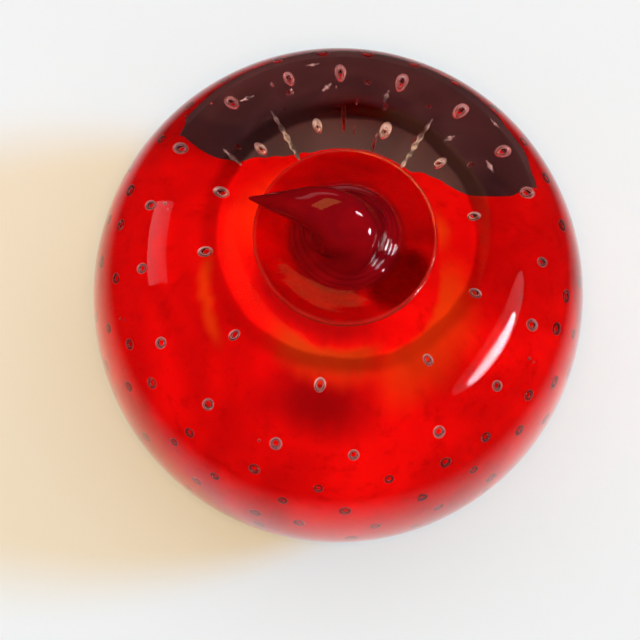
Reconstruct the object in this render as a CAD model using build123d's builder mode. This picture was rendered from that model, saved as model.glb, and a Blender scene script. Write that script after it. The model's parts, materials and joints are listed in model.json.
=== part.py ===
"""Art glass apple: a ruby core, a clear gather dented with air bubbles, a clear casing and a curled stem."""

import math
import os

from build123d import *

# Clear casing, the outside of the apple
apple_diameter = 84.0
belly_height = 34.5
base_diameter = 34.0
crest_height = 68.5
crest_diameter = 43.0
dimple_depth = 1.1
seat_diameter = 30.6

# Glass between one layer and the next: at the side, at the top and in the ground base
casing_wall = 8.0
casing_top_wall = 6.0
casing_base_ring = 2.6
gather_wall = 8.5
gather_top_wall = 3.4
gather_base_ring = 2.6
gather_shoulder_diameter = 30.0
gather_flare_height = 5.0
core_flare_height = 8.0

# Air bubbles: drops of air in rows round the axis, closed in under a thin skin of the gather
bubble_diameter = 1.8
bubble_cover = 0.4
bubble_crowding = 12.6
top_row_bubbles = 11
top_row_drop = 8.6
row_bubbles = (18, 26, 26, 26, 22, 16)
next_row_drop = 19.4
row_pitch = 7.0

# Foot of the stem: a round pad with a raised mound
foot_thickness = 1.4
foot_rim_round = 0.5
foot_clearance = 0.2
mound_diameter = 17.6
mound_height = 3.4

# Horn of the stem: twisted most at its root, bent over and pulled to a point
horn_root_diameter = 14.8
horn_tip_diameter = 0.8
horn_taper = 1.05
horn_sink = 0.8
horn_rise = 2.5
curl_radius = 7.2
curl_angle = 105.0
curl_heading = 173.0
tip_reach = 7.3
flute_count = 3
flute_depth = 0.075
flute_start = 75.0
flute_twist = 250.0
twist_ease = 2.2
flute_points = 6
horn_stations = 18

apple_radius = apple_diameter / 2
base_radius = base_diameter / 2
crest_radius = crest_diameter / 2
seat_radius = seat_diameter / 2
seat_height = crest_height - dimple_depth

gather_radius = apple_radius - casing_wall
gather_top = seat_height - casing_top_wall
gather_neck_radius = base_radius - casing_base_ring
gather_shoulder_radius = gather_shoulder_diameter / 2

core_radius = gather_radius - gather_wall
core_top = gather_top - gather_top_wall
core_neck_radius = gather_neck_radius - gather_base_ring

foot_radius = seat_radius - foot_clearance
foot_top = seat_height + foot_thickness
mound_radius = mound_diameter / 2
curl_turn = math.radians(curl_angle)
horn_straight = horn_sink + horn_rise
horn_arc = curl_radius * curl_turn
horn_length = horn_straight + horn_arc + tip_reach
lean = Vector(1, 0, 0).rotate(Axis.Z, curl_heading)


def rounded_corner(start, corner, end):
    """Curve from start to end that leaves and arrives along the sides of a corner, as an ellipse does."""
    handle = 4 / 3 * (math.sqrt(2) - 1)
    first = Vector(*start) + (Vector(*corner) - Vector(*start)) * handle
    second = Vector(*end) + (Vector(*corner) - Vector(*end)) * handle
    return Bezier(start, (first.X, first.Y), (second.X, second.Y), end)


def apple_outline():
    """Half outline of the apple: flat base, belly, shoulder, crest and the round slope of the dimple."""
    base = Line((0, 0), (base_radius, 0))
    belly = rounded_corner((base_radius, 0), (apple_radius, 0), (apple_radius, belly_height))
    crest = (crest_radius, crest_height)
    rounded_corner(belly @ 1, (apple_radius, crest_height), crest)
    slope = TangentArc(crest, (seat_radius, seat_height), tangent=(-1, 0))
    seat = Line(slope @ 1, (0, seat_height))
    Line(seat @ 1, base @ 0)


def layer_side(neck_radius, flare_height, radius, top, shoulder_radius):
    """Side of an inner layer: it flares from its neck on the base to the belly, and closes in to the top."""
    bowl = rounded_corner((neck_radius, 0), (radius, flare_height), (radius, belly_height))
    shoulder = rounded_corner((radius, belly_height), (radius, top), (shoulder_radius, top))
    return bowl, shoulder


def core_outline():
    """Half outline of the ruby core, round on top."""
    layer_side(core_neck_radius, core_flare_height, core_radius, core_top, 0)
    Polyline((0, core_top), (0, 0), (core_neck_radius, 0))


def gather_outline():
    """Half outline of the clear gather, flat on top."""
    layer_side(gather_neck_radius, gather_flare_height, gather_radius, gather_top, gather_shoulder_radius)
    Polyline((gather_shoulder_radius, gather_top), (0, gather_top), (0, 0), (gather_neck_radius, 0))


def bubble_row(count, drop):
    """Centres of one row of bubbles, sunk square to the gather's side at a drop along it from the top.

    The row is spaced evenly with a gap at the back, and then drawn towards the back."""
    run = gather_side.length - drop
    point = gather_side.position_at(run, PositionMode.LENGTH)
    outward = gather_side.tangent_at(run, PositionMode.LENGTH).rotate(Axis.X, -90)
    centre = point - outward * (bubble_cover + bubble_diameter / 2)
    phase = 0.5 if count % 2 == 0 else 0
    centres = []
    for index in range(count):
        even = 360 * (index + phase) / count
        azimuth = even + bubble_crowding * math.sin(math.radians(even))
        centres.append(centre.rotate(Axis.Z, 180 + azimuth))
    return centres


def horn_plane(run):
    """Plane across the horn at a run along its axis: up, round the curl, then straight to the tip."""
    turn = min(max(run - horn_straight, 0) / curl_radius, curl_turn)
    rise = min(run, horn_straight) + curl_radius * math.sin(turn)
    direction = lean * math.sin(turn) + Vector(0, 0, math.cos(turn))
    point = Vector(0, 0, foot_top - horn_sink + rise) + lean * (curl_radius * (1 - math.cos(turn)))
    point += direction * max(run - horn_straight - horn_arc, 0)
    return Plane(point, x_dir=lean.rotate(Axis.Z, 90), z_dir=direction)


def fluted_section(radius, turn):
    """Closed outline round the horn: a circle that swells once for each flute, turned by the twist."""
    points = []
    steps = flute_count * flute_points
    for step in range(steps):
        angle = 2 * math.pi * step / steps
        swell = radius * (1 + flute_depth * math.cos(flute_count * (angle - turn)))
        points.append((swell * math.cos(angle), swell * math.sin(angle)))
    Spline(*points, periodic=True)


with BuildLine(Plane.YZ) as gather_guide:
    layer_side(gather_neck_radius, gather_flare_height, gather_radius, gather_top, gather_shoulder_radius)
gather_side = gather_guide.wire()

bubble_centres = bubble_row(top_row_bubbles, top_row_drop)
for row, count in enumerate(row_bubbles):
    bubble_centres += bubble_row(count, next_row_drop + row * row_pitch)

with BuildPart() as ruby_core:
    with BuildSketch(Plane.YZ):
        with BuildLine():
            core_outline()
        make_face()
    revolve(axis=Axis.Z)

with BuildPart() as bubble_gather:
    with BuildSketch(Plane.YZ):
        with BuildLine():
            gather_outline()
        make_face()
        with BuildLine():
            core_outline()
        make_face(mode=Mode.SUBTRACT)
    revolve(axis=Axis.Z)
    with Locations(*bubble_centres):
        Sphere(bubble_diameter / 2, mode=Mode.SUBTRACT)

with BuildPart() as clear_casing:
    with BuildSketch(Plane.YZ):
        with BuildLine():
            apple_outline()
        make_face()
        with BuildLine():
            gather_outline()
        make_face(mode=Mode.SUBTRACT)
    revolve(axis=Axis.Z)

with BuildPart() as stem:
    with BuildSketch(Plane.YZ):
        with BuildLine():
            Polyline((0, foot_top), (0, seat_height), (foot_radius, seat_height), (foot_radius, foot_top),
                     close=True)
        make_face()
        fillet(vertices().sort_by(Axis.X)[-2:], foot_rim_round)
        with BuildLine():
            mound_side = (mound_radius, foot_top)
            mound_peak = (0, foot_top + mound_height)
            rounded_corner(mound_side, (mound_radius, foot_top + mound_height), mound_peak)
            Polyline(mound_peak, (0, foot_top), mound_side)
        make_face()
    revolve(axis=Axis.Z)
    for station in range(horn_stations + 1):
        share = station / horn_stations
        slimming = 1 - share**horn_taper
        turned = flute_start + flute_twist * (1 - (1 - share) ** twist_ease)
        diameter = horn_tip_diameter + (horn_root_diameter - horn_tip_diameter) * slimming
        with BuildSketch(horn_plane(share * horn_length)):
            with BuildLine():
                fluted_section(diameter / 2, math.radians(turned))
            make_face()
    loft()

os.makedirs("parts", exist_ok=True)
for label, piece in (
    ("ruby_core", ruby_core),
    ("bubble_gather", bubble_gather),
    ("clear_casing", clear_casing),
    ("stem", stem),
):
    piece.part.label = label
    export_step(piece.part, f"parts/{label}.step")
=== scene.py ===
import json
import math

import bpy
import numpy as np
from mathutils import Matrix, Vector

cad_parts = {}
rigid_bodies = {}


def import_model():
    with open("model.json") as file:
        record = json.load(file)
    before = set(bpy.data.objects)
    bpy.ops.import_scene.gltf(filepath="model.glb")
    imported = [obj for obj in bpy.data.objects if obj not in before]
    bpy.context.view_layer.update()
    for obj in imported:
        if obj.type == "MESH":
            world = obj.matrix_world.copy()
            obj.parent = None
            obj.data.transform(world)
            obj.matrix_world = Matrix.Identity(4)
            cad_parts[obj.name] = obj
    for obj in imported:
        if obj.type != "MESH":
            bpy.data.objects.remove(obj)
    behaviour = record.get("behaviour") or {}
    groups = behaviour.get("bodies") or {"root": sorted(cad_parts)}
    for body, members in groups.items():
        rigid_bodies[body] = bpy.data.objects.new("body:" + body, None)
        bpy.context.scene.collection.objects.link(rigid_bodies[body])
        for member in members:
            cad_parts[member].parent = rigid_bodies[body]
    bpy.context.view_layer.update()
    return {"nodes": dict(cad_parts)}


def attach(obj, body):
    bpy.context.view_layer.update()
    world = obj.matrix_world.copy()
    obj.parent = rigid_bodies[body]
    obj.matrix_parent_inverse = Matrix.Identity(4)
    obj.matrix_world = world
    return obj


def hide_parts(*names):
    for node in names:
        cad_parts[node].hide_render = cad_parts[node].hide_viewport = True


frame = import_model()
mm = 0.001
upward = np.array([0, 0, 1.0])
rng = np.random.default_rng(7)
print("frame loaded:", sorted(frame["nodes"]))


def addNode(tree, kind, settings=None, inputs=None, output=0):
    # any node: its settings, then values or links for its sockets; gives one of its outputs
    node = tree.nodes.new(kind)
    for key, value in (settings or {}).items():
        setattr(node, key, value)
    for key, value in (inputs or {}).items():
        socket = node.inputs[key]
        if isinstance(value, Value):
            tree.links.new(value.socket, socket)
        elif socket.type == "RGBA":
            socket.default_value = (*value, 1)
        else:
            socket.default_value = value
    return Value(tree, node.outputs[output])


class Value:
    # one output of a node; sums, products and powers of it add Math nodes
    def __init__(self, tree, socket):
        self.tree = tree
        self.socket = socket

    def math(self, operation, first, second, clamp=False):
        settings = {"operation": operation, "use_clamp": clamp}
        return addNode(self.tree, "ShaderNodeMath", settings, {0: first, 1: second})

    def __add__(self, other):
        return self.math("ADD", self, other)

    def __radd__(self, other):
        return self.math("ADD", other, self)

    def __sub__(self, other):
        return self.math("SUBTRACT", self, other)

    def __rsub__(self, other):
        return self.math("SUBTRACT", other, self)

    def __mul__(self, other):
        return self.math("MULTIPLY", self, other)

    def __rmul__(self, other):
        return self.math("MULTIPLY", other, self)

    def __truediv__(self, other):
        return self.math("DIVIDE", self, other)

    def __pow__(self, other):
        return self.math("POWER", self, other)

    def clip(self):
        return self.math("ADD", self, 0.0, clamp=True)

    def step(self, low, high):
        # 0 below low, 1 above high, smooth between
        settings = {"interpolation_type": "SMOOTHSTEP"}
        return addNode(self.tree, "ShaderNodeMapRange", settings,
                       {"Value": self, "From Min": low, "From Max": high})

    def fade(self, ends):
        # the same step between two ends in millimetres
        return self.step(ends[0] * mm, ends[1] * mm)

    def band(self, low, high, below, above):
        # 1 between low and high, with a soft end on each side
        return self.step(low - below, low + below) * (1 - self.step(high - above, high + above))


def newMaterial(name):
    material = bpy.data.materials.new(name)
    material.use_nodes = True
    material.node_tree.nodes.clear()
    return material, material.node_tree


def finishTree(tree, shader, kind="ShaderNodeOutputMaterial"):
    tree.links.new(shader.socket, tree.nodes.new(kind).inputs["Surface"])


def place(tree, coordinates="Object"):
    # texture coordinates and their three parts
    where = addNode(tree, "ShaderNodeTexCoord", output=coordinates)
    return where, [addNode(tree, "ShaderNodeSeparateXYZ", inputs={0: where}, output=axis) for axis in "XYZ"]


def distanceFromAxis(x, y):
    return (x * x + y * y) ** 0.5


def noise(tree, where, scale, detail, roughness, distortion=0.0, stretch=(1.0, 1.0, 1.0)):
    moved = addNode(tree, "ShaderNodeMapping", inputs={"Vector": where, "Scale": stretch})
    return addNode(tree, "ShaderNodeTexNoise", inputs={
        "Vector": moved, "Scale": scale, "Detail": detail, "Roughness": roughness, "Distortion": distortion})


def bumpFrom(tree, height, strength, distance):
    return addNode(tree, "ShaderNodeBump", inputs={
        "Strength": strength, "Distance": distance * mm, "Height": height})


def mixColour(tree, factor, first, second):
    return addNode(tree, "ShaderNodeMix", {"data_type": "RGBA"}, {0: factor, 6: first, 7: second}, 2)


def principled(tree, inputs):
    return addNode(tree, "ShaderNodeBsdfPrincipled", inputs=inputs)


def mixShaders(tree, factor, first, second):
    return addNode(tree, "ShaderNodeMixShader", inputs={0: factor, 1: first, 2: second})


def around(columns):
    # angles of the columns of one ring
    return np.arange(columns) * 2 * np.pi / columns


def ramp(values, ends):
    # 0 at the first end, 1 at the last, straight between
    return np.clip((values - ends[0]) / (ends[1] - ends[0]), 0, 1)


def corner(start, bend, end, count):
    # cubic from start to end that leaves and arrives along the sides of a corner, as a quarter ellipse does
    handle = 4 / 3 * (math.sqrt(2) - 1)
    start, bend, end = (np.array(p, float) for p in (start, bend, end))
    first = start + (bend - start) * handle
    second = end + (bend - end) * handle
    t = np.linspace(0, 1, count)[:, None]
    return (1 - t)**3 * start + 3 * (1 - t)**2 * t * first + 3 * (1 - t) * t**2 * second + t**3 * end


def revolved(profile, columns):
    # rings of a half outline turned about the upright axis
    angle = around(columns)
    ring = np.stack([np.cos(angle), np.sin(angle)], -1)
    flat = profile[:, None, 0, None] * ring
    height = np.broadcast_to(profile[:, None, 1, None], (*flat.shape[:2], 1))
    return np.concatenate([flat, height], -1), angle


def hoops(centre, radius, angle, first, second):
    # rings round a line: the radius goes along one direction by cosine and along another by sine
    return centre + (radius * np.cos(angle))[..., None] * first + (radius * np.sin(angle))[..., None] * second


def ripple(angle, height, waves):
    # slow hand-made unevenness: a few sines round the axis and up it, between 0 and 1
    total = np.zeros(np.broadcast(angle, height).shape)
    for turns, rise, phase in waves:
        total = total + np.sin(turns * angle + rise * height + phase)
    return 0.5 + 0.5 * total / len(waves)


def closedShell(points, lowPole, highPole):
    # vertices of one closed shell: pole, rows of rings, pole
    return np.concatenate([[lowPole], points.reshape(-1, 3), [highPole]])


def gridFaces(rows, columns, base=0, flip=False):
    # faces of a closed shell: fans at its poles and quads between its rings
    first = base + 1
    last = first + (rows - 1) * columns
    ring = np.arange(columns)
    after = (ring + 1) % columns
    row = first + np.arange(rows - 1)[:, None] * columns
    above = row + columns
    quads = np.stack([row + ring, row + after, above + after, above + ring], -1).reshape(-1, 4)
    low = np.stack([np.full(columns, base), first + after, first + ring], -1)
    high = np.stack([np.full(columns, last + columns), last + ring, last + after], -1)
    turn = -1 if flip else 1
    return quads[:, ::turn].tolist() + low[:, ::turn].tolist() + high[:, ::turn].tolist()


def addPiece(name, vertices, faces, material, nodes, slotName, marks=None):
    mesh = bpy.data.meshes.new(name)
    mesh.from_pydata(vertices.tolist(), [], faces)
    mesh.shade_smooth()
    if marks is not None:
        mesh.attributes.new("mark", "FLOAT", "POINT").data.foreach_set("value", marks)
    mesh.materials.append(material)
    piece = bpy.data.objects.new(name, mesh)
    bpy.context.scene.collection.objects.link(piece)
    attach(piece, "root")
    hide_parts(*nodes)
    print("piece", name, len(mesh.vertices), "vertices")


# Clear glass: casing and gather as one body of glass with the air bubbles in it
clearGlass = {
    "radius": 42.0, "belly": 34.5, "baseRadius": 17.0, "crest": 68.5, "crestRadius": 21.5,
    "seatRadius": 15.3, "seat": 67.4, "poleRadius": 1.0,
    "around": 192, "flatRows": 10, "sideRows": 60, "slopeRows": 16,
    "unevenness": 0.12, "waves": ((2, 0.05, 0.4), (3, -0.08, 2.0), (5, 0.11, 4.1)),
    # side of the gather, which the bubbles follow
    "gatherRadius": 34.0, "gatherTop": 61.4, "gatherShoulder": 15.0, "gatherNeck": 14.4, "gatherFlare": 5.0,
    "guideRows": 400, "probe": 0.1,
    # rows of bubbles: angles of the two upper rows, then counts; jitter is a share of the pitch
    "bubble": 1.8, "cover": 0.4, "crowding": 12.6, "jitter": 0.2, "wander": 0.9,
    "topRow": (357, 43, 78, 112, 140, 168, 198, 225, 251, 278, 316),
    "secondRow": (10, 36, 58, 79, 98, 119, 133, 150, 169, 187, 202, 220, 240, 259, 278, 301, 324, 347),
    "lowerRows": (26, 26, 26, 22, 16), "drops": (8.6, 19.4, 26.4, 33.4, 40.4, 47.4, 54.4),
    "bubbleRings": 9, "bubbleColumns": 14, "sizeSpread": 0.18, "sizeRange": (-1, 0.6),
    # low bubbles at the back shrink, upper ones there are drawn out: where each starts, in depth and height
    "shrink": 0.62, "shrinkDepth": (8, 16), "shrinkHeight": (36, 30),
    "drawnLeast": 1.05, "drawnMost": 1.8, "drawnDepth": (4, 18), "drawnHeight": (48, 54),
    # seeds strewn between the rows
    "seeds": 60, "seedBubble": 0.5, "seedSizes": (0.4, 1.0), "seedHeights": (16, 56), "seedReach": (31, 37),
    "seedHalfHeight": 34, "seedLeastReach": 0.1,
    # fine threads and dashes of air, each from one point to another
    "threadRings": 60, "threadColumns": 12, "beadDepth": 0.25,
    "threads": {"radius": 0.52, "beads": 6, "ends": (
        ((-14.5, 20.8, 64.6), (-8.6, 12.7, 64.6)), ((11.9, 22.7, 64.6), (7.5, 13.2, 64.6)))},
    "dashes": {"radius": 0.42, "beads": 2, "ends": (
        ((-19.4, 22.2, 62.5), (-17.3, 23.3, 62.9)), ((-6.5, 25.1, 64.8), (-5.2, 26.7, 64.1)),
        ((-9.6, 30.0, 60.6), (-7.4, 30.7, 60.5)), ((-21.4, 13.1, 65.2), (-18.3, 10.7, 65.6)),
        ((3.7, 24.4, 65.3), (4.2, 26.7, 64.2)), ((14.2, 18.9, 65.6), (15.8, 20.2, 64.9)),
        ((21.0, 25.2, 59.1), (22.4, 24.0, 59.0)), ((21.2, 16.8, 64.2), (22.6, 14.8, 64.2)))},
    "look": {
        "index": 1.5, "sheen": (0.04, 0.03, 0.03), "topFrom": (60, 62),
        "tint": (0.36, 0.18, 0.19), "paleTint": (0.72, 0.36, 0.34), "tintEnds": (0.35, 0.65),
        "swirl": {"scale": 28.0, "detail": 2.0, "roughness": 0.5, "distortion": 1.5,
                  "stretch": (1.0, 1.0, 0.6)},
        "bump": 0.08, "bumpDepth": 0.4,
        # painted reflection: warm amber in the dimple, where a warm ceiling would mirror
        "amberReflection": (0.86, 0.56, 0.34), "amberReflectionShare": 0.8, "amberReflectionEdge": (20.3, 21.8), "amberReflectionWobble": 2.5,
        "crestLine": (0.2, 0.08, 0.07), "crestShare": 0.75, "crestInner": (20.4, 21.2),
        "crestOuter": (22.4, 24.4), "crestWobble": 3.0,
        "farCrest": (0.06, 0.02, 0.018), "farCrestShare": 0.9, "farCrestFrom": (2, 14),
        "ground": (0.8, 0.8, 0.78), "groundShare": 0.3, "groundTo": (0.2, 0.7), "groundRoughness": 0.4,
        "smears": {"scale": 90.0, "detail": 4.0, "roughness": 0.6}, "smearEnds": (0.55, 0.8),
        "smearRoughness": 0.012,
        # bubbles: the red of the lower ones is a painted reflection of the ruby core
        "air": (0.97, 0.95, 0.94), "lowAirRedReflection": (0.8, 0.22, 0.18), "airFrom": (38, 48),
        # painted highlight: pale rims on the upper bubbles; a painted dull red reflection on the lower ones
        "rim": (1.0, 0.96, 0.88), "rimGleam": 0.92, "lowRimRedReflection": (0.42, 0.012, 0.01), "lowGleam": 0.8,
        "rimRoughness": 0.5, "rimFrom": (46, 56), "rimFacing": (0.2, 0.44), "facingBlend": 0.5,
        "farSide": (-0.55, 0.45), "nearShare": 0.15,
        # threads: a dull white finish as painted glints
        "threadGlint": (0.95, 0.94, 0.86), "dimThreadGlint": (0.2, 0.19, 0.18), "threadGlintRoughness": 0.4,
        "glitter": {"scale": 700.0, "detail": 2.0, "roughness": 0.5}, "glitterEnds": (0.35, 0.65),
    },
}


def appleProfile(c):
    # half outline: ground base, belly, shoulder, crest, then a round slope down to the seat
    bottom = (c["baseRadius"], 0)
    side = (c["radius"], c["belly"])
    crest = (c["crestRadius"], c["crest"])
    base = np.linspace((c["poleRadius"], 0), bottom, c["flatRows"])
    belly = corner(bottom, (c["radius"], 0), side, c["sideRows"])
    shoulder = corner(side, (c["radius"], c["crest"]), crest, c["sideRows"])
    run = c["crestRadius"] - c["seatRadius"]
    drop = c["crest"] - c["seat"]
    bend = (run**2 + drop**2) / (2 * drop)
    across = np.linspace(0, run, c["slopeRows"])
    slope = np.stack([c["crestRadius"] - across, c["crest"] - bend + np.sqrt(bend**2 - across**2)], -1)
    seat = np.linspace((c["seatRadius"], c["seat"]), (c["poleRadius"], c["seat"]), c["flatRows"])
    return np.concatenate([base[:-1], belly, shoulder[1:], slope[1:], seat[1:]])


def gatherSide(c):
    # side of the gather from its top down, and the run along it at each point
    middle = (c["gatherRadius"], c["belly"])
    shoulder = (c["gatherShoulder"], c["gatherTop"])
    bowl = corner((c["gatherNeck"], 0), (c["gatherRadius"], c["gatherFlare"]), middle, c["guideRows"])
    top = corner(middle, (c["gatherRadius"], c["gatherTop"]), shoulder, c["guideRows"])
    side = np.concatenate([bowl, top[1:]])[::-1]
    steps = np.linalg.norm(np.diff(side, axis=0), axis=1)
    return side, np.concatenate([[0], np.cumsum(steps)])


def bubbleAzimuths(c):
    # two rows at given angles, then rows spaced evenly with jitter and drawn towards the back
    rows = [np.array(c["topRow"], float), np.array(c["secondRow"], float)]
    for row, count in enumerate(c["lowerRows"]):
        # every other row sits between the bubbles of its neighbours
        stray = rng.uniform(-c["jitter"], c["jitter"], count)
        even = 360 * (np.arange(count) + 0.5 * (row % 2) + stray) / count
        rows.append(even + c["crowding"] * np.sin(np.radians(even)))
    return rows


def bubbleCentres(c):
    # rows sunk square to the gather's side, at a drop along it from its top; azimuth 0 is the near side
    side, run = gatherSide(c)

    def sideAt(drops):
        return np.stack([np.interp(drops, run, side[:, k]) for k in (0, 1)], -1)

    centres = []
    for row, (drop, azimuths) in enumerate(zip(c["drops"], bubbleAzimuths(c))):
        drops = drop + (row > 1) * rng.uniform(-c["wander"], c["wander"], len(azimuths))
        point = sideAt(drops)
        along = sideAt(drops + c["probe"]) - point
        along /= np.linalg.norm(along, axis=1)[:, None]
        outward = np.stack([-along[:, 1], along[:, 0]], -1)
        r, z = (point - outward * (c["cover"] + c["bubble"] / 2)).T
        turn = np.radians(azimuths)
        centres.append(np.stack([r * np.sin(turn), -r * np.cos(turn), z], -1))
    return np.concatenate(centres)


def airBalls(c):
    # centres, radii and lengthening of the bubbles in their rows, then of the seeds between them
    centres = bubbleCentres(c)
    radii = c["bubble"] / 2 * (1 + c["sizeSpread"] * rng.uniform(*c["sizeRange"], len(centres)))
    radii *= 1 - c["shrink"] * ramp(centres[:, 1], c["shrinkDepth"]) * ramp(centres[:, 2], c["shrinkHeight"])
    count = c["seeds"]
    turn = rng.uniform(0, 2 * np.pi, count)
    lift = rng.uniform(*c["seedHeights"], count)
    girth = np.clip(1 - ((lift - c["belly"]) / c["seedHalfHeight"]) ** 2, c["seedLeastReach"], 1)
    reach = np.sqrt(girth) * rng.uniform(*c["seedReach"], count)
    seeds = np.stack([reach * np.sin(turn), -reach * np.cos(turn), lift], -1)
    centres = np.concatenate([centres, seeds])
    radii = np.concatenate([radii, c["seedBubble"] / 2 * rng.uniform(*c["seedSizes"], count)])
    back = ramp(centres[:, 1], c["drawnDepth"]) * ramp(centres[:, 2], c["drawnHeight"])
    return centres, radii, c["drawnLeast"] + (c["drawnMost"] - c["drawnLeast"]) * back


def bubbleShell(c, centre, radius, stretch):
    # a small ball of air, drawn out along the glass, square to the line from the apple's middle
    arm = centre - (0, 0, c["belly"])
    outward = arm / np.linalg.norm(arm)
    sideways = np.array([-outward[1], outward[0], 0]) / np.hypot(outward[0], outward[1])
    along = np.cross(outward, sideways) * radius * stretch
    tilt = np.linspace(-np.pi / 2, np.pi / 2, c["bubbleRings"] + 2)[1:-1, None]
    middles = centre + np.sin(tilt)[..., None] * along
    points = hoops(middles, radius * np.cos(tilt), around(c["bubbleColumns"]), outward, sideways)
    return closedShell(points, centre - along, centre + along)


def threadShell(c, strand, start, end):
    # a fine thread of air between two points, swelling into a few beads and closing to a point at its ends
    start, end = np.array(start), np.array(end)
    along = (end - start) / np.linalg.norm(end - start)
    sideways = np.cross(along, upward)
    sideways /= np.linalg.norm(sideways)
    t = np.linspace(0, 1, c["threadRings"] + 2)[1:-1, None]
    beads = 1 - c["beadDepth"] + c["beadDepth"] * np.cos(2 * np.pi * strand["beads"] * t)
    thick = strand["radius"] * np.sqrt(np.sin(np.pi * t)) * beads
    middles = start + t[..., None] * (end - start)
    points = hoops(middles, thick, around(c["threadColumns"]), sideways, np.cross(along, sideways))
    return closedShell(points, start, end)


def makeClearGlass(c):
    # the apple's outside turned about its axis, a hair under its round at the belly, with shells of air in it
    profile = appleProfile(c)
    points, angle = revolved(profile, c["around"])
    share = ramp(profile[:, :1], (c["baseRadius"], c["radius"]))
    dip = ripple(angle, profile[:, 1:], c["waves"])
    points[..., :2] *= (1 - c["unevenness"] / c["radius"] * share * dip)[..., None]
    shells = [closedShell(points, (0, 0, 0), (0, 0, c["seat"]))]
    faces = gridFaces(len(profile), c["around"])

    def addAir(shell, rings, columns):
        faces.extend(gridFaces(rings, columns, sum(map(len, shells)), flip=True))
        shells.append(shell)

    for centre, radius, stretch in zip(*airBalls(c)):
        addAir(bubbleShell(c, centre, radius, stretch), c["bubbleRings"], c["bubbleColumns"])
    firstThread = sum(map(len, shells))
    for strand in (c["threads"], c["dashes"]):
        for start, end in strand["ends"]:
            addAir(threadShell(c, strand, start, end), c["threadRings"], c["threadColumns"])
    vertices = np.concatenate(shells) * mm
    # 0 on the glass, 1 on the bubbles, 2 on the threads, which carry a painted white glint
    order = np.arange(len(vertices))
    marks = (order >= len(shells[0])) * 1.0 + (order >= firstThread)
    return vertices, faces, marks.astype(np.float32)


def glassColour(tree, look, swirl, ground, x, y, z):
    # smoky plum with paler swirls, a painted amber reflection of a warm ceiling in the dimple, a dark line
    # round the crest
    top = z.fade(look["topFrom"])
    reach = distanceFromAxis(x, y)
    # painted reflection of a warm ceiling in the dimple
    dimpleReflection = (1 - (reach + (swirl - 0.5) * (look["amberReflectionWobble"] * mm)).fade(look["amberReflectionEdge"])) * top
    wander = reach + (swirl - 0.5) * (look["crestWobble"] * mm)
    crest = wander.fade(look["crestInner"]) * (1 - wander.fade(look["crestOuter"])) * top
    colour = mixColour(tree, swirl.step(*look["tintEnds"]), look["tint"], look["paleTint"])
    for factor, tone in (
        (dimpleReflection * look["amberReflectionShare"], look["amberReflection"]),
        (crest * look["crestShare"], look["crestLine"]),
        (crest * y.fade(look["farCrestFrom"]) * look["farCrestShare"], look["farCrest"]),
        (ground * look["groundShare"], look["ground"]),
    ):
        colour = mixColour(tree, factor, colour, tone)
    return colour


def clearGlassMaterial(look):
    material, tree = newMaterial("clear glass")
    where, (x, y, z) = place(tree)
    mark = addNode(tree, "ShaderNodeAttribute", {"attribute_name": "mark"}, output="Fac")
    isAir = mark.clip()
    ground = 1 - z.fade(look["groundTo"])
    swirl = noise(tree, where, **look["swirl"])
    smears = noise(tree, where, **look["smears"]).step(*look["smearEnds"])
    # the lower bubbles take a painted red reflection of the core
    airColour = mixColour(tree, z.fade(look["airFrom"]), look["lowAirRedReflection"], look["air"])
    colour = mixColour(tree, isAir, glassColour(tree, look, swirl, ground, x, y, z), airColour)
    glass = principled(tree, {
        "Base Color": colour, "Normal": bumpFrom(tree, swirl, look["bump"], look["bumpDepth"]),
        "Roughness": (smears * look["smearRoughness"] + ground * look["groundRoughness"]).clip(),
        "Transmission Weight": 1.0, "IOR": look["index"], "Specular Tint": look["sheen"]})
    # rims of the bubbles, painted highlight: a pale crescent on the far side of the upper ones, and a painted
    # dull red reflection on the lower rows
    upper = z.fade(look["rimFrom"])
    rimHighlightColour = mixColour(tree, upper, look["lowRimRedReflection"], look["rim"])
    rim = principled(tree, {"Base Color": rimHighlightColour, "Roughness": look["rimRoughness"]})
    facing = addNode(tree, "ShaderNodeLayerWeight", inputs={"Blend": look["facingBlend"]}, output="Facing")
    towardsBack = place(tree, "Normal")[1][1]
    crescent = towardsBack.step(*look["farSide"]) * (1 - look["nearShare"]) + look["nearShare"]
    gleam = (1 - upper) * look["lowGleam"] + upper * crescent * look["rimGleam"]
    glass = mixShaders(tree, isAir * facing.step(*look["rimFacing"]) * gleam, glass, rim)
    # painted glints: the threads get a dull white finish in place of reflected light
    glitter = noise(tree, where, **look["glitter"]).step(*look["glitterEnds"])
    threadGlintColour = mixColour(tree, glitter, look["dimThreadGlint"], look["threadGlint"])
    threadGlint = principled(tree, {"Base Color": threadGlintColour, "Roughness": look["threadGlintRoughness"]})
    finishTree(tree, mixShaders(tree, (mark - 1).clip(), glass, threadGlint))
    return material


glassVertices, glassFaces, glassMarks = makeClearGlass(clearGlass)
addPiece("clearGlassBody", glassVertices, glassFaces, clearGlassMaterial(clearGlass["look"]),
         ("clear_casing", "bubble_gather"), "clear_glass", glassMarks)

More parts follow.
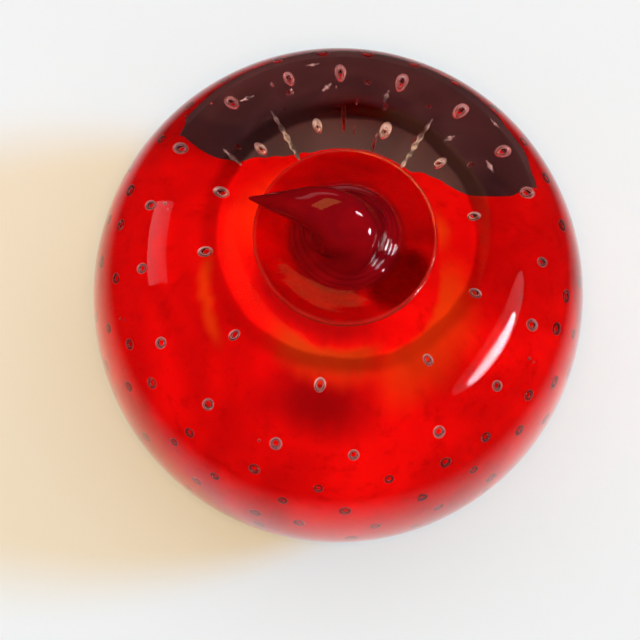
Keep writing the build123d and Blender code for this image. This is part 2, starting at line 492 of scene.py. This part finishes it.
# Ruby core: the dense red heart of the apple
rubyCore = {
    "radius": 25.5, "belly": clearGlass["belly"], "neck": 11.8, "flare": 8.0, "top": 58.0, "lift": 0.3,
    "poleRadius": 1.0,
    "around": 160, "underRows": 8, "bowlRows": 50, "domeRows": 60,
    "unevenness": 0.8, "unevenFrom": (6, 16),
    "waves": ((3, 0.21, 0.3), (5, -0.17, 1.9), (13, 0.3, 5.0), (23, -0.12, 0.9), (37, 0.4, 2.2),
              (52, -0.5, 4.0)),
    # swellings towards the back: angle from the right hand and width in degrees, and height
    "swellings": ((150.0, 26.0, 1.5), (30.0, 22.0, 0.9)), "swellFrom": (22, 32),
    "look": {
        "deep": (0.8, 0.003, 0.003), "red": (0.95, 0.006, 0.004), "redEnds": (0.3, 0.7),
        "cloud": {"scale": 45.0, "detail": 3.0, "roughness": 0.55, "distortion": 0.8,
                  "stretch": (1.0, 1.0, 0.5)},
        "veil": {"scale": 24.0, "detail": 2.0, "roughness": 0.5, "distortion": 1.2},
        "grain": {"scale": 420.0, "detail": 4.0, "roughness": 0.65}, "grainEnds": (0.5, 0.75),
        "fleck": (0.5, 0.002, 0.002), "fleckShare": 0.45,
        # painted shade: darker towards the foot, much darker at the back of the foot
        "footShade": (0.62, 0.003, 0.003), "backFootShade": (0.27, 0.002, 0.003), "footTo": (9, 33),
        "backFrom": (-4, 10),
        # how far the noise moves the zones round and up
        "veilTurn": 30.0, "veilRise": 3.6, "cloudRise": 2.4,
        # coloured zones of painted light: orange ones are painted reflection and brighter light, dark ones
        # painted shadow round the disc;
        # heights in millimetres and bearings in degrees (0 is near, 90 the right hand), with how softly each
        # ends below, above and at its sides
        "paintedLightZones": (
            # painted highlight: orange where the most light falls
            {"tone": (0.9, 0.03, 0.005), "heights": (49.0, 56.0),
             "bearings": (-150.0, -95.0), "soft": (3.0, 3.0, 18.0)},
            # painted shadow of the stem's foot on the near side
            {"tone": (0.3, 0.002, 0.003), "heights": (44.6, 49.2),
             "bearings": (-22.0, 16.0), "soft": (2.6, 1.2, 14.0)},
            # painted shade round the disc
            {"tone": (0.4, 0.003, 0.004), "heights": (51.9, 54.6),
             "bearings": (-75.0, 24.0), "soft": (1.2, 1.0, 22.0)},
            # painted brown reflection of the ceiling under the disc
            {"tone": (0.5, 0.045, 0.005), "heights": (49.4, 51.5),
             "bearings": (-34.0, 22.0), "soft": (1.2, 0.4, 12.0)},
            # these three: painted orange reflection of a warm ceiling round the disc
            {"tone": (0.85, 0.062, 0.006), "heights": (46.8, 50.4),
             "bearings": (26.0, 84.0), "soft": (2.6, 0.5, 12.0)},
            {"tone": (0.85, 0.06, 0.006), "heights": (48.6, 51.0),
             "bearings": (100.0, 116.0), "soft": (1.2, 1.0, 9.0)},
            {"tone": (0.95, 0.075, 0.006), "heights": (45.8, 46.8),
             "bearings": (-88.0, -54.0), "soft": (0.7, 0.7, 6.0)},
        ),
    },
}


def makeRubyCore(c):
    # a bowl that flares from its neck to the belly and closes in to a round top, with ripples and swellings
    neck = (c["neck"], c["lift"])
    middle = (c["radius"], c["belly"])
    under = np.linspace((c["poleRadius"], c["lift"]), neck, c["underRows"])
    bowl = corner(neck, (c["radius"], c["flare"]), middle, c["bowlRows"])
    dome = corner(middle, (c["radius"], c["top"]), (0, c["top"]), c["domeRows"])
    profile = np.concatenate([under[:-1], bowl, dome[1:-1]])
    points, angle = revolved(profile, c["around"])
    height = profile[:, 1:]
    dip = c["unevenness"] * ramp(height, c["unevenFrom"]) * ripple(angle, height, c["waves"])
    grown = np.zeros_like(angle)
    for middleAngle, width, swelling in c["swellings"]:
        grown = grown + swelling * np.exp(-(((np.degrees(angle) - middleAngle) / width) ** 2))
    points[..., :2] *= (1 + (grown * ramp(height, c["swellFrom"]) - dip) / c["radius"])[..., None]
    return closedShell(points, (0, 0, c["lift"]), (0, 0, c["top"])) * mm, gridFaces(len(profile), c["around"])


def rubyMaterial(look):
    material, tree = newMaterial("ruby core glass")
    where, (x, y, z) = place(tree)
    cloud = noise(tree, where, **look["cloud"])
    veil = noise(tree, where, **look["veil"])
    grain = noise(tree, where, **look["grain"]).step(*look["grainEnds"])
    colour = mixColour(tree, cloud.step(*look["redEnds"]), look["deep"], look["red"])
    colour = mixColour(tree, grain * look["fleckShare"], colour, look["fleck"])
    bearing = x.math("ARCTAN2", x, y * -1.0) * (180 / math.pi) + (veil - 0.5) * look["veilTurn"]
    rise = z / mm + (veil - 0.5) * look["veilRise"] + (cloud - 0.5) * look["cloudRise"]
    # painted light and shade: orange reflections and dark shadow zones
    for zone in look["paintedLightZones"]:
        below, above, beside = zone["soft"]
        inside = rise.band(*zone["heights"], below, above) * bearing.band(*zone["bearings"], beside, beside)
        colour = mixColour(tree, inside, colour, zone["tone"])
    # painted shade: the core darkens towards its foot, most at the back
    footShade = mixColour(tree, y.fade(look["backFrom"]), look["footShade"], look["backFootShade"])
    colour = mixColour(tree, z.fade(look["footTo"]), footShade, colour)
    finishTree(tree, principled(tree, {"Base Color": colour, "Roughness": 1.0, "Specular IOR Level": 0.0}))
    return material


addPiece("rubyCoreGlass", *makeRubyCore(rubyCore), rubyMaterial(rubyCore["look"]),
         ("ruby_core",), "core_glass")

# Stem: a round foot with a mound, drawn up, twisted and bent over to a point
stem = {
    "seat": clearGlass["seat"], "gap": 0.02, "footRadius": 15.1, "footTop": 68.8, "rim": 0.38,
    "poleRadius": 1.0,
    "moundRadius": 8.8, "skirt": 0.3, "dish": 0.25, "padInset": 0.3,
    "dishCurve": 1.3, "bulgeCurve": 1.3, "creaseCurve": 1.5, "moundCurve": 1.6,
    "ridges": 3.5, "ridgeDepth": 0.1,
    "hornRoot": 14.8, "hornTip": 0.5, "taper": 1.05, "tipOver": 0.25,
    "sink": 0.8, "rise": 2.5, "curlRadius": 7.2, "curlAngle": 105.0, "heading": 173.0, "reach": 7.3,
    "flutes": 3, "fluteDepth": 0.075, "fluteStart": 75.0, "twist": 250.0, "twistEase": 2.2,
    "around": 192, "underRings": 8, "lowEdgeRings": 7, "highEdgeRings": 9, "padRings": 40,
    "moundRings": 46, "hornRings": 130,
    "look": {
        "index": 1.5, "bump": 0.1, "bumpDepth": 0.3, "shine": 0.02,
        "streaks": {"scale": 160.0, "detail": 3.0, "roughness": 0.5, "distortion": 0.6,
                    "stretch": (0.35, 1.0, 1.0)},
        "streakEnds": (0.35, 0.7), "hornStreakEnds": (0.3, 0.7),
        "pad": (0.66, 0.01, 0.01), "padDeep": (0.46, 0.007, 0.007), "padClear": 0.92,
        "padSheen": (0.12, 0.1, 0.1),
        "ruby": (0.4, 0.003, 0.006), "darkRuby": (0.24, 0.002, 0.005), "hornClear": 0.3,
        "hornSheen": (0.3, 0.25, 0.27),
        # painted highlight: the edge's pale colour stands for the bright line on the rim
        "edgeHighlight": (0.8, 0.1, 0.06), "edgeClear": 0.85, "edgeSheen": (0.6, 0.55, 0.5),
        # painted shade: deep red spots in the pad at the foot of the mound
        "moundShadeAt": ((10.6, -4.4, 68.6), (8.6, -7.6, 68.6)), "moundShadeEnds": (2.34, 5.2), "moundShadeWobble": 2.0,
        "moundShadeRed": (0.2, 0.002, 0.002),
        # where colours meet, from the mound's radius, the foot's top and the foot's radius
        "moundEnds": (-1.2, 1.6), "raisedEnds": (0.5, 1.6), "edgeEnds": (-0.75, -0.35),
    },
}


def hornDirections(c):
    # the way the horn leans, and level across it
    heading = math.radians(c["heading"])
    lean = np.array([math.cos(heading), math.sin(heading), 0.0])
    return lean, np.array([-lean[1], lean[0], 0.0])


def level(c, radius, height):
    # flat rings about the upright axis
    lean, sideways = hornDirections(c)
    return hoops(height[..., None] * upward, radius, around(c["around"]), sideways, -lean)


def footRows(c):
    # flat below, a small round, a short wall, a small round, then a pad that sinks to the foot of the mound
    bottom = c["seat"] + c["gap"]
    rim = c["rim"]
    flat = c["footRadius"] - rim
    under = np.linspace(c["poleRadius"], flat, c["underRings"])[:-1, None]
    rows = [level(c, under, np.full_like(under, bottom))]
    lowSwing = np.linspace(-np.pi / 2, 0, c["lowEdgeRings"])[:, None]
    highSwing = np.linspace(0, np.pi / 2, c["highEdgeRings"])[:, None]
    for height, swing in ((bottom + rim, lowSwing), (c["footTop"] - rim, highSwing)):
        rows.append(level(c, flat + rim * np.cos(swing), height + rim * np.sin(swing)))
    t = np.linspace(0, 1, c["padRings"])[:, None]
    pad = np.linspace(flat - c["padInset"], c["moundRadius"] + c["skirt"], c["padRings"])[:, None]
    rows.append(level(c, pad, c["footTop"] - c["dish"] * t ** c["dishCurve"]))
    return rows


def hornRadius(c, share):
    # it tapers towards the tip, and swells once for each flute, turned by the twist
    thickness = c["hornTip"] + (c["hornRoot"] - c["hornTip"]) * (1 - share ** c["taper"])
    turned = math.radians(c["fluteStart"]) + math.radians(c["twist"]) * (1 - (1 - share) ** c["twistEase"])
    swell = np.cos(c["flutes"] * (around(c["around"]) - turned))
    return thickness / 2 * (1 + c["fluteDepth"] * swell)


def moundRows(c, start):
    # a skirt that rises from the pad with spiral ridges and runs into the root of the horn
    w = np.linspace(0, 1, c["moundRings"])[1:, None]
    root = hornRadius(c, np.full_like(w, start))
    crease = (c["moundRadius"] + c["skirt"] - root) * (1 - w ** c["bulgeCurve"]) ** c["creaseCurve"]
    spiral = np.sin(2 * np.pi * c["ridges"] * w + around(c["around"])) * np.sin(np.pi * w)
    height = c["footTop"] - c["dish"] + (c["rise"] + c["dish"]) * w ** c["moundCurve"]
    return level(c, root + crease + c["ridgeDepth"] * spiral, height)


def hornRows(c, share, run, curl):
    # rings round the curl and then straight to the tip, at a run past the root, and the tip itself
    lean, sideways = hornDirections(c)
    turn = np.clip(run / c["curlRadius"], 0, curl)[..., None]
    past = np.clip(run - c["curlRadius"] * curl, 0, None)[..., None]
    forward = c["curlRadius"] * (1 - np.cos(turn)) + np.sin(turn) * past
    lift = c["curlRadius"] * np.sin(turn) + np.cos(turn) * past
    centre = forward * lean + (c["footTop"] + c["rise"] + lift) * upward
    ahead = np.sin(turn) * lean + np.cos(turn) * upward
    across = np.sin(turn) * upward - np.cos(turn) * lean
    rings = hoops(centre, hornRadius(c, share), around(c["around"]), sideways, across)
    return rings, (centre + c["tipOver"] * ahead)[-1, 0]


def makeStem(c):
    # one skin from under the foot, round its rim, over the foot and the mound and out along the horn
    straight = c["sink"] + c["rise"]
    curl = math.radians(c["curlAngle"])
    length = straight + c["curlRadius"] * curl + c["reach"]
    start = straight / length
    share = start + (1 - start) * np.linspace(0, 1, c["hornRings"])[1:, None]
    horn, tip = hornRows(c, share, share * length - straight, curl)
    points = np.concatenate([*footRows(c), moundRows(c, start), horn])
    low = (0, 0, c["seat"] + c["gap"])
    return closedShell(points, low, tip) * mm, gridFaces(len(points), c["around"])


def stemMaterial(c):
    # clear red pad that runs softly into the deep red of the mound and the horn, with a paler edge whose pale
    # colour is a painted highlight on the rim
    look = c["look"]
    material, tree = newMaterial("stem glass")
    where, (x, y, z) = place(tree)
    streaks = noise(tree, where, **look["streaks"])
    bump = bumpFrom(tree, streaks, look["bump"], look["bumpDepth"])
    shine = streaks * look["shine"]
    streaky = streaks.step(*look["streakEnds"])

    def redGlass(colour, clearness, sheen):
        return principled(tree, {
            "Base Color": colour, "Roughness": shine, "Normal": bump, "Transmission Weight": clearness,
            "IOR": look["index"], "Specular Tint": sheen})

    padColour = mixColour(tree, streaky, look["pad"], look["padDeep"])
    # painted shade at the foot of the mound
    for spot in look["moundShadeAt"]:
        offset = addNode(tree, "ShaderNodeVectorMath", {"operation": "DISTANCE"},
                         {0: where, 1: tuple(v * mm for v in spot)}, "Value")
        deep = 1 - (offset + (streaks - 0.5) * (look["moundShadeWobble"] * mm)).fade(look["moundShadeEnds"])
        padColour = mixColour(tree, deep, padColour, look["moundShadeRed"])
    hornColour = mixColour(tree, streaks.step(*look["hornStreakEnds"]), look["darkRuby"], look["ruby"])
    # painted highlight: pale colour on the rim
    edgeHighlightColour = mixColour(tree, streaky, look["edgeHighlight"], look["pad"])
    pad = redGlass(padColour, look["padClear"], look["padSheen"])
    horn = redGlass(hornColour, look["hornClear"], look["hornSheen"])
    edgeHighlight = redGlass(edgeHighlightColour, look["edgeClear"], look["edgeSheen"])
    reach = distanceFromAxis(x, y)
    inside = 1 - reach.fade([c["moundRadius"] + end for end in look["moundEnds"]])
    raised = z.fade([c["footTop"] + end for end in look["raisedEnds"]])
    outside = reach.fade([c["footRadius"] + end for end in look["edgeEnds"]])
    body = mixShaders(tree, (inside + raised).clip(), pad, horn)
    finishTree(tree, mixShaders(tree, outside * (1 - raised), body, edgeHighlight))
    return material


addPiece("twistedStem", *makeStem(stem), stemMaterial(stem), ("stem",), "stem_glass")

# Stage: pale table, soft lights and the camera; lamps and tableHalf in metres, the rest in millimetres
stage = {
    "tableHalf": 3.0, "tableDrop": 0.02, "table": (0.87, 0.87, 0.865), "tableRoughness": 0.8,
    # dark ring on the table: inner and outer radius, where it is fully dark, and its height
    "flag": (46.0, 4200.0), "flagFull": 100.0, "flagHeight": 0.5, "flagColumns": 64,
    "flagColour": (0.012, 0.01, 0.01),
    # low wall: radius, height, first and last angle
    "wall": (37.0, 17.0, -15.0, 125.0), "wallFoot": 0.3, "wallColumns": 33, "wallTaper": 3,
    "wallColour": (0.02, 0.02, 0.02),
    "dome": (0.03, 0.0291, 0.0279), "farDome": (0.01, 0.0085, 0.0085), "farFrom": (0.05, 0.6),
    "lampAim": (0, 0, 0.035),
    # one diffuse bounce keeps the apple's red off the table
    "bounces": {"max_bounces": 24, "transmission_bounces": 24, "glossy_bounces": 12, "diffuse_bounces": 1},
    # lamps that are only seen mirrored, some of them by one piece alone; a lamp without a shape is a rectangle
    "mirrored": {
        "window": {"at": (1.11, -0.29, 0.39), "size": (0.66, 0.22), "shape": "ELLIPSE", "power": 48.0,
                   "colour": (0.92, 0.94, 1.0), "only": "clearGlassBody"},
        "lowWindow": {"at": (1.18, -0.32, 0.17), "size": (0.3, 0.12), "power": 15.0,
                      "colour": (0.96, 0.93, 1.0), "only": "twistedStem"},
        "windowHaze": {"at": (1.06, -0.2, 0.46), "size": (1.06, 0.46), "shape": "ELLIPSE", "power": 9.0,
                       "colour": (1.0, 0.7, 0.72), "only": "clearGlassBody"},
        "paleWindow": {"at": (-1.18, 0.22, 0.26), "size": (0.58, 0.5), "power": 3.8,
                       "colour": (1.0, 0.8, 0.86), "only": "clearGlassBody"},
        "highWindow": {"at": (1.06, 0.2, 0.73), "size": (0.2, 0.3), "power": 14.0,
                       "colour": (1.0, 0.98, 0.97), "only": "twistedStem"},
        "farCard": {"at": (-0.1, 1.2, 0.7), "size": (1.0, 0.3), "power": 1.8,
                    "colour": (1.0, 0.9, 0.95), "only": "twistedStem"},
        "warmCard": {"at": (0.27, 0.58, 1.2), "size": (0.5, 0.45), "power": 4.6,
                     "colour": (1.0, 0.5, 0.14)},
    },
    # lamps that are only seen through glass
    "through": {
        "nearSoftbox": {"at": (-0.85, -1.0, 0.36), "size": (1.5, 0.45), "power": 13.5},
        "rightSoftbox": {"at": (1.3, -0.22, 0.9), "size": (0.8, 0.8), "power": 1.2},
        "leftSoftbox": {"at": (-1.3, -0.22, 0.9), "size": (0.8, 0.8), "power": 44.0,
                        "colour": (1.0, 0.98, 0.95)},
        "farRightStrip": {"at": (1.0, 0.72, 0.15), "size": (0.12, 0.25), "power": 1.8},
        "farLeftStrip": {"at": (-1.1, 0.6, 0.15), "size": (0.12, 0.25), "power": 4.6},
        "nearRightStrip": {"at": (1.1, -0.6, 0.15), "size": (0.12, 0.25), "power": 0.6},
        "nearLeftStrip": {"at": (-1.0, -0.72, 0.15), "size": (0.12, 0.25), "power": 10.5},
        "farStrip": {"at": (0.0, 1.6, 0.5), "size": (2.2, 0.35), "power": 12.0},
    },
    # lamps that only light dull surfaces; a sun has an angle in degrees in place of a size
    "lighting": {
        "warmRoom": {"at": (0.0, -0.44, 1.46), "sun": 14.0, "power": 2.01, "colour": (1.0, 0.7, 0.34)},
        "skyFill": {"at": (0.0, 0.0, 2.0), "size": (3.0, 3.0), "power": 27.0, "colour": (0.93, 1.0, 1.0)},
        "blueWindow": {"at": (1.2, 0.17, 0.98), "sun": 13.0, "power": 2.08, "colour": (0.02, 0.46, 1.0)},
    },
}


def addStagePiece(name, vertices, faces, material, unseenBy=()):
    mesh = bpy.data.meshes.new(name)
    mesh.from_pydata(vertices, [], faces)
    mesh.materials.append(material)
    piece = bpy.data.objects.new(name, mesh)
    for rays in unseenBy:
        setattr(piece, "visible_" + rays, False)
    bpy.context.scene.collection.objects.link(piece)


def addTable(c):
    s = c["tableHalf"]
    drop = -c["tableDrop"] * mm
    material, tree = newMaterial("pale table")
    finishTree(tree, principled(tree, {
        "Base Color": c["table"], "Roughness": c["tableRoughness"], "Specular IOR Level": 0.0}))
    corners = [(-s, -s, drop), (s, -s, drop), (s, s, drop), (-s, s, drop)]
    addStagePiece("table", corners, [(0, 1, 2, 3)], material)


def addFlag(c):
    # a dark ring that lies on the table and is only seen mirrored, as a dark room round the table is
    inner, outer = c["flag"]
    count = c["flagColumns"]
    turn = around(count)
    circle = np.stack([np.cos(turn), np.sin(turn), np.zeros(count)], -1)
    lift = c["flagHeight"] * upward
    vertices = np.concatenate([inner * circle + lift, outer * circle + lift]) * mm
    k = np.arange(count)
    after = (k + 1) % count
    faces = np.stack([k, after, after + count, k + count], -1)
    material, tree = newMaterial("dark flag")
    x, y = place(tree)[1][:2]
    clear = addNode(tree, "ShaderNodeBsdfTransparent")
    dark = principled(tree, {"Base Color": c["flagColour"], "Roughness": 1.0, "Specular IOR Level": 0.0})
    finishTree(tree, mixShaders(tree, distanceFromAxis(x, y).fade((inner, c["flagFull"])), clear, dark))
    unseenBy = ("camera", "diffuse", "transmission", "volume_scatter", "shadow")
    addStagePiece("flag", vertices.tolist(), faces.tolist(), material, unseenBy)


def addWall(c):
    # a low curved wall under the apple's far side that runs out to nothing at its ends: it only casts shadow
    radius, height, first, last = c["wall"]
    count = c["wallColumns"]
    turn = np.radians(np.linspace(first, last, count))
    ring = np.stack([radius * np.cos(turn), radius * np.sin(turn), np.full(count, c["wallFoot"])], -1)
    tall = height * (1 - np.abs(np.linspace(-1, 1, count)) ** c["wallTaper"])
    vertices = np.concatenate([ring, ring + tall[:, None] * upward]) * mm
    k = np.arange(count - 1)
    faces = np.stack([k, k + 1, k + 1 + count, k + count], -1)
    material, tree = newMaterial("wall")
    finishTree(tree, principled(tree, {"Base Color": c["wallColour"]}))
    unseenBy = ("camera", "diffuse", "glossy", "transmission")
    addStagePiece("wall", vertices.tolist(), faces.tolist(), material, unseenBy)


def addLamp(name, lampSet, role, aim):
    lamp = bpy.data.lights.new(name, "SUN" if "sun" in lampSet else "AREA")
    if "sun" in lampSet:
        lamp.angle = math.radians(lampSet["sun"])
    else:
        lamp.shape = lampSet.get("shape", "RECTANGLE")
        lamp.size, lamp.size_y = lampSet["size"]
    lamp.energy = lampSet["power"]
    lamp.color = lampSet.get("colour", (1.0, 1.0, 1.0))
    holder = bpy.data.objects.new(name, lamp)
    holder.location = lampSet["at"]
    holder.rotation_mode = "QUATERNION"
    holder.rotation_quaternion = (Vector(aim) - Vector(lampSet["at"])).to_track_quat("-Z", "Y")
    holder.visible_glossy = role == "mirrored"
    holder.visible_transmission = role == "through"
    holder.visible_diffuse = role == "lighting"
    bpy.context.scene.collection.objects.link(holder)
    if "only" in lampSet:
        lit = bpy.data.collections.new(name + " lights")
        lit.objects.link(bpy.data.objects[lampSet["only"]])
        holder.light_linking.receiver_collection = lit


def addWorld(c):
    # a dim room, dimmer on its far side
    world = bpy.data.worlds.new("studio")
    bpy.context.scene.world = world
    world.use_nodes = True
    tree = world.node_tree
    tree.nodes.clear()
    towardsBack = place(tree, "Generated")[1][1]
    colour = mixColour(tree, towardsBack.step(*c["farFrom"]), c["dome"], c["farDome"])
    light = addNode(tree, "ShaderNodeBackground", inputs={"Color": colour, "Strength": 1.0})
    finishTree(tree, light, "ShaderNodeOutputWorld")


# Camera: angles in degrees, and the ball's radius and centre in the photograph's pixels
camera = {
    "aim": (0, 0, clearGlass["belly"]), "elevation": 73.0, "roll": 6.8, "distance": 620.0,
    "ball": clearGlass["radius"], "ballPixels": 245.0, "centre": (338.0, 297.0), "pixels": 640.0,
    "sensor": 36.0,
}


def addCamera(c):
    data = bpy.data.cameras.new("camera")
    holder = bpy.data.objects.new("camera", data)
    bpy.context.scene.collection.objects.link(holder)
    bpy.context.scene.camera = holder
    rise = math.radians(c["elevation"])
    roll = math.radians(c["roll"])
    back = Vector((0, -math.cos(rise), math.sin(rise)))
    flat = Vector((1, 0, 0))
    upright = back.cross(flat)
    right = flat * math.cos(roll) + upright * math.sin(roll)
    up = upright * math.cos(roll) - flat * math.sin(roll)
    holder.location = (Vector(c["aim"]) + back * c["distance"]) * mm
    holder.rotation_mode = "QUATERNION"
    holder.rotation_quaternion = Matrix((right, up, back)).transposed().to_quaternion()
    # half angle of the ball as the lens sees it, then the lens that gives it its size in the picture
    half = c["ball"] / math.sqrt(1 - (c["ball"] / c["distance"]) ** 2) / c["distance"]
    middle = c["pixels"] / 2
    data.sensor_width = c["sensor"]
    data.lens = c["sensor"] / 2 * c["ballPixels"] / middle / half
    data.shift_x = (middle - c["centre"][0]) / c["pixels"]
    data.shift_y = (c["centre"][1] - middle) / c["pixels"]


addTable(stage)
addFlag(stage)
addWall(stage)
for lampRole in ("mirrored", "through", "lighting"):
    for lampName, lampValues in stage[lampRole].items():
        addLamp(lampName, lampValues, lampRole, stage["lampAim"])
addWorld(stage)
addCamera(camera)
scene = bpy.context.scene
scene.view_settings.view_transform = "Standard"
for kind, count in stage["bounces"].items():
    setattr(scene.cycles, kind, count)
print("stage set")
